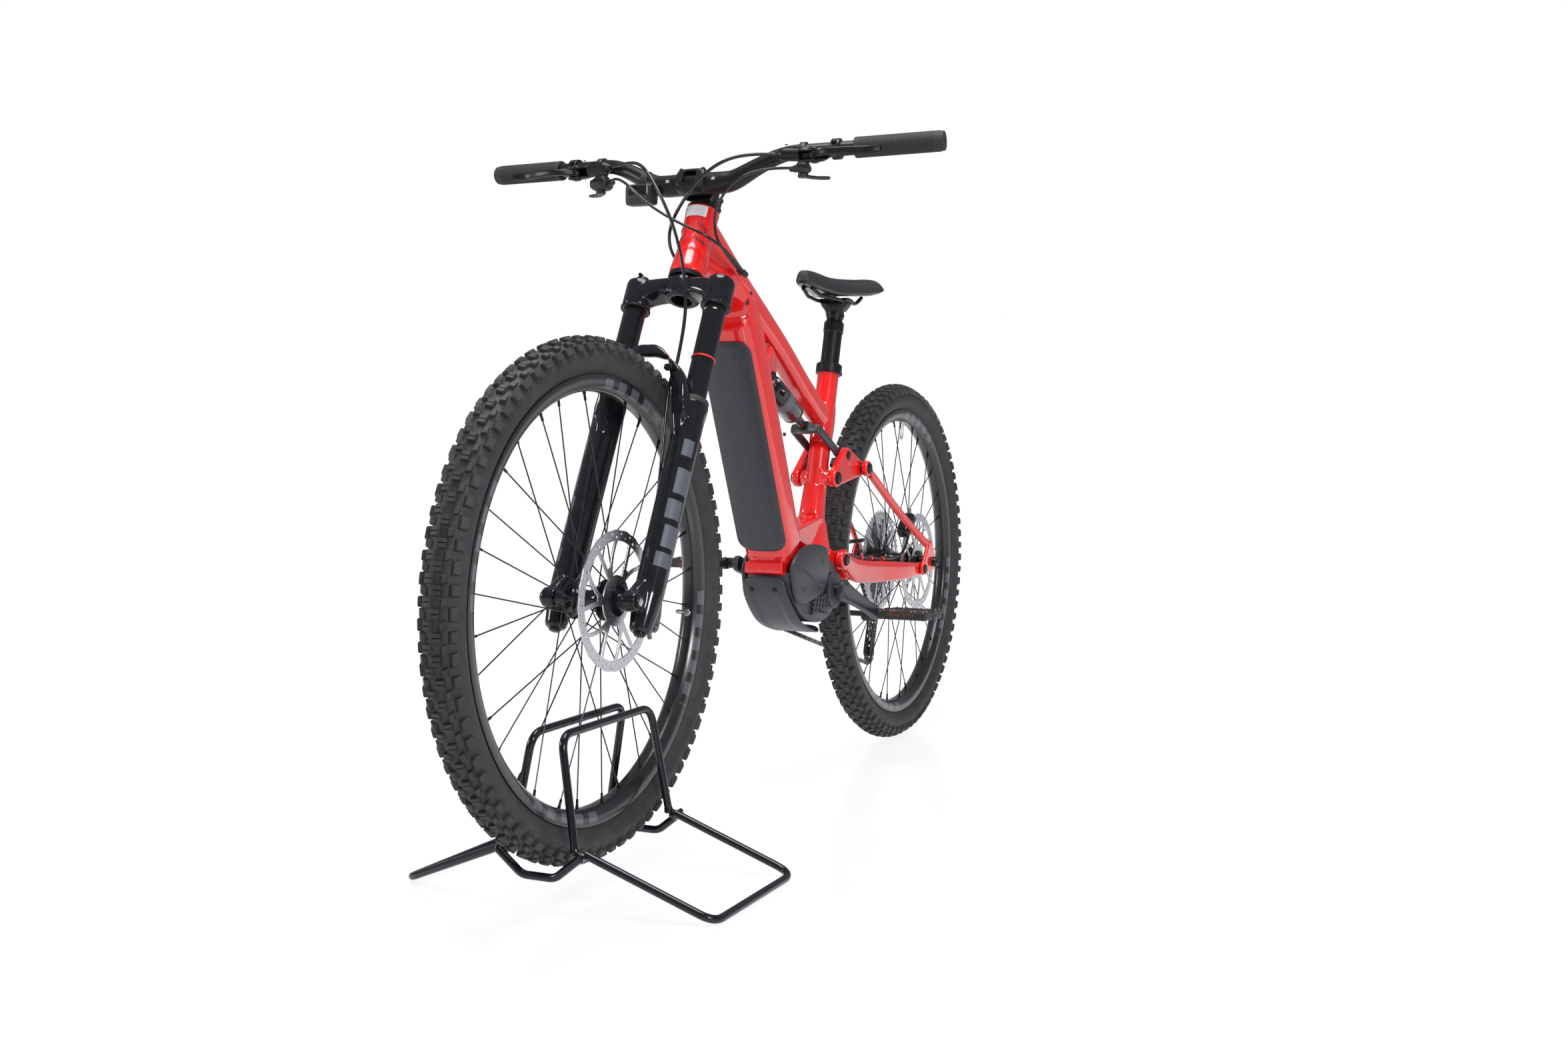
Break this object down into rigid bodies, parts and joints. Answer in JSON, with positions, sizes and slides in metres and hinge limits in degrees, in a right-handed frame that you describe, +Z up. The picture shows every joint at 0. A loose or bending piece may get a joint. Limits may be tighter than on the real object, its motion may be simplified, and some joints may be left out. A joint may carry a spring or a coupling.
{
  "type": "bicycle on stand",
  "caption": "Full-suspension electric mountain bicycle, front wheel held in a wire floor stand; steering, wheels, cranks, fork, rear linkage, dropper post and levers move.",
  "frame": {"origin": "on the floor, midway between the ends of the tyres and on the bicycle's middle plane", "axes": "+X forward, +Y to the rider's left, +Z up"},
  "size_m": [1.9652, 0.7996, 1.0941],
  "materials": {
    "anthracite": "satin",
    "black_gloss": "gloss",
    "black_metal": "satin",
    "crank_grey": "satin",
    "frame_red": "gloss",
    "motor_grey": "matte",
    "plastic_black": "matte",
    "plastic_gloss": "gloss",
    "rim": "satin",
    "rubber": "matte",
    "saddle": "matte",
    "spoke": "satin",
    "stand_black": "gloss",
    "steel": "brushed",
    "tyre": "matte"
  },
  "bodies": {
    "frame": {"down_tube": "frame_red", "battery_pack": "plastic_black", "battery_cover": "anthracite", "head_tube": "frame_red", "top_tube": "frame_red", "motor_cradle": "frame_red", "seat_tube": "frame_red", "motor_unit": "motor_grey", "motor_covers": "anthracite", "skid_plate": "anthracite", "frame_hardware": "black_metal", "dropper_outer": "black_metal", "chain": "steel"},
    "steering": {"fork_uppers": "black_gloss", "stem": "black_metal", "handlebar": "black_metal", "handlebar_grips": "rubber", "brake_bodies": "black_metal", "control_pods": "plastic_black", "display": "plastic_gloss", "hoses_and_cables": "rubber"},
    "fork_lowers": {"fork_lowers": "black_gloss", "front_axle": "black_metal", "front_caliper": "black_metal"},
    "front_wheel": {"front_tyre": "tyre", "front_rim": "rim", "front_spokes": "spoke", "front_hub": "black_metal", "front_rotor": "steel"},
    "stand": {"stand_loops": "stand_black", "stand_base": "stand_black"},
    "brake_lever_left": {"brake_lever_left": "black_metal"},
    "brake_lever_right": {"brake_lever_right": "black_metal"},
    "shift_paddle": {"shift_paddle": "plastic_black"},
    "dropper_paddle": {"dropper_paddle": "black_metal"},
    "chainstay": {"chainstay": "frame_red"},
    "seatstay": {"seatstay": "frame_red", "rear_axle": "black_metal", "rear_caliper": "black_metal", "derailleur_body": "black_metal"},
    "rocker": {"rocker_link": "frame_red"},
    "shock_body": {"shock_body": "black_metal"},
    "shock_shaft": {"shock_shaft": "motor_grey"},
    "rear_wheel": {"rear_tyre": "tyre", "rear_rim": "rim", "rear_spokes": "spoke", "rear_hub": "black_metal", "rear_rotor": "steel"},
    "cassette": {"cassette": "steel"},
    "derailleur_cage": {"derailleur_cage": "black_metal"},
    "guide_pulley": {"guide_pulley": "plastic_black"},
    "tension_pulley": {"tension_pulley": "plastic_black"},
    "crankset": {"crank_left": "crank_grey", "crank_right": "crank_grey", "chainring": "black_metal"},
    "pedal_left": {"pedal_left": "plastic_black"},
    "pedal_right": {"pedal_right": "plastic_black"},
    "seatpost": {"dropper_inner": "black_metal", "saddle_rails": "black_metal", "saddle": "saddle"}
  },
  "joints": [
    {"name": "steer", "type": "hinge", "parent": "frame", "child": "steering", "pos_m": [0.31879, 0, 0.88491], "axis": [-0.4491, 0, 0.8935], "range_deg": [-60, 60], "deforming": ["hoses_and_cables"]},
    {"name": "fork_travel", "type": "slide", "parent": "steering", "child": "fork_lowers", "axis": [-0.4491, 0, 0.8935], "range_m": [0, 0.14], "stiffness_N_per_m": 9000, "springref_m": -0.04},
    {"name": "front_wheel_spin", "type": "hinge", "parent": "fork_lowers", "child": "front_wheel", "pos_m": [0.61047, 0, 0.408], "axis": [0, 1, 0], "continuous": true},
    {"name": "stand_drop", "type": "slide", "parent": "fork_lowers", "child": "stand", "axis": [0, 0, 1], "range_m": [-0.3, 0], "deforming": ["stand_loops"]},
    {"name": "brake_left", "type": "hinge", "parent": "steering", "child": "brake_lever_left", "pos_m": [0.30416, 0.21, 1.06124], "axis": [-0.0295, 0, 0.9996], "range_deg": [0, 14], "stiffness_Nm_per_rad": 1, "springref_deg": -17.19},
    {"name": "brake_right", "type": "hinge", "parent": "steering", "child": "brake_lever_right", "pos_m": [0.30416, -0.21, 1.06124], "axis": [0.0295, 0, -0.9996], "range_deg": [0, 14], "stiffness_Nm_per_rad": 1, "springref_deg": -17.19},
    {"name": "shift_push", "type": "hinge", "parent": "steering", "child": "shift_paddle", "pos_m": [0.28117, -0.178, 1.03564], "axis": [-0.0295, 0, 0.9996], "range_deg": [0, 20], "stiffness_Nm_per_rad": 0.3, "springref_deg": -17.19},
    {"name": "dropper_push", "type": "hinge", "parent": "steering", "child": "dropper_paddle", "pos_m": [0.27882, 0.18, 1.03962], "axis": [0.0295, 0, -0.9996], "range_deg": [0, 18], "stiffness_Nm_per_rad": 0.3, "springref_deg": -17.19},
    {"name": "chainstay_pivot", "type": "hinge", "parent": "frame", "child": "chainstay", "pos_m": [-0.2038, 0, 0.40501], "axis": [0, 1, 0], "range_deg": [0, 20], "stiffness_Nm_per_rad": 400, "springref_deg": -17.19, "deforming": ["chain"]},
    {"name": "seatstay_pivot", "type": "hinge", "parent": "chainstay", "child": "seatstay", "pos_m": [-0.56164, 0, 0.36045], "axis": [0, 1, 0], "range_deg": [-10.5, 0]},
    {"name": "rocker_pivot", "type": "hinge", "parent": "frame", "child": "rocker", "pos_m": [-0.19028, 0, 0.55748], "axis": [0, 1, 0], "range_deg": [0, 42]},
    {"name": "shock_pivot", "type": "hinge", "parent": "frame", "child": "shock_body", "pos_m": [0.04146, 0, 0.73938], "axis": [0, 1, 0], "range_deg": [0, 2]},
    {"name": "shock_slide", "type": "slide", "parent": "shock_body", "child": "shock_shaft", "axis": [0.8958, 0, 0.4444], "range_m": [0, 0.048]},
    {"name": "rear_wheel_spin", "type": "hinge", "parent": "seatstay", "child": "rear_wheel", "pos_m": [-0.611, 0, 0.372], "axis": [0, 1, 0], "continuous": true},
    {"name": "crank_spin", "type": "hinge", "parent": "frame", "child": "crankset", "pos_m": [-0.15922, 0, 0.3523], "axis": [0, 1, 0], "continuous": true},
    {"name": "cassette_spin", "type": "hinge", "parent": "seatstay", "child": "cassette", "pos_m": [-0.611, 0, 0.372], "axis": [0, 1, 0], "continuous": true},
    {"name": "cage_pivot", "type": "hinge", "parent": "seatstay", "child": "derailleur_cage", "pos_m": [-0.64845, -0.057, 0.25084], "axis": [0, -1, 0], "range_deg": [0, 40], "stiffness_Nm_per_rad": 1.5, "springref_deg": -34.38},
    {"name": "guide_pulley_spin", "type": "hinge", "parent": "derailleur_cage", "child": "guide_pulley", "pos_m": [-0.63081, -0.055, 0.26337], "axis": [0, 1, 0], "continuous": true},
    {"name": "tension_pulley_spin", "type": "hinge", "parent": "derailleur_cage", "child": "tension_pulley", "pos_m": [-0.59823, -0.055, 0.17629], "axis": [0, 1, 0], "continuous": true},
    {"name": "pedal_left_spin", "type": "hinge", "parent": "crankset", "child": "pedal_left", "pos_m": [-0.3174, 0.14, 0.2957], "axis": [0, 1, 0], "continuous": true},
    {"name": "pedal_right_spin", "type": "hinge", "parent": "crankset", "child": "pedal_right", "pos_m": [-0.00104, -0.14, 0.4089], "axis": [0, 1, 0], "continuous": true},
    {"name": "seatpost_slide", "type": "slide", "parent": "frame", "child": "seatpost", "axis": [-0.2788, 0, 0.9604], "range_m": [0, 0.12]}
  ],
  "couplings": [
    {"joint": "seatstay_pivot", "follows": "chainstay_pivot", "ratio": -0.50746},
    {"joint": "rocker_pivot", "follows": "chainstay_pivot", "ratio": 2.0725},
    {"joint": "shock_pivot", "follows": "chainstay_pivot", "ratio": 0.071794},
    {"joint": "shock_slide", "follows": "chainstay_pivot", "m_per_rad": 0.13279},
    {"joint": "cassette_spin", "follows": "crank_spin", "ratio": 1.7143},
    {"joint": "guide_pulley_spin", "follows": "crank_spin", "ratio": -3},
    {"joint": "tension_pulley_spin", "follows": "crank_spin", "ratio": 3}
  ]
}
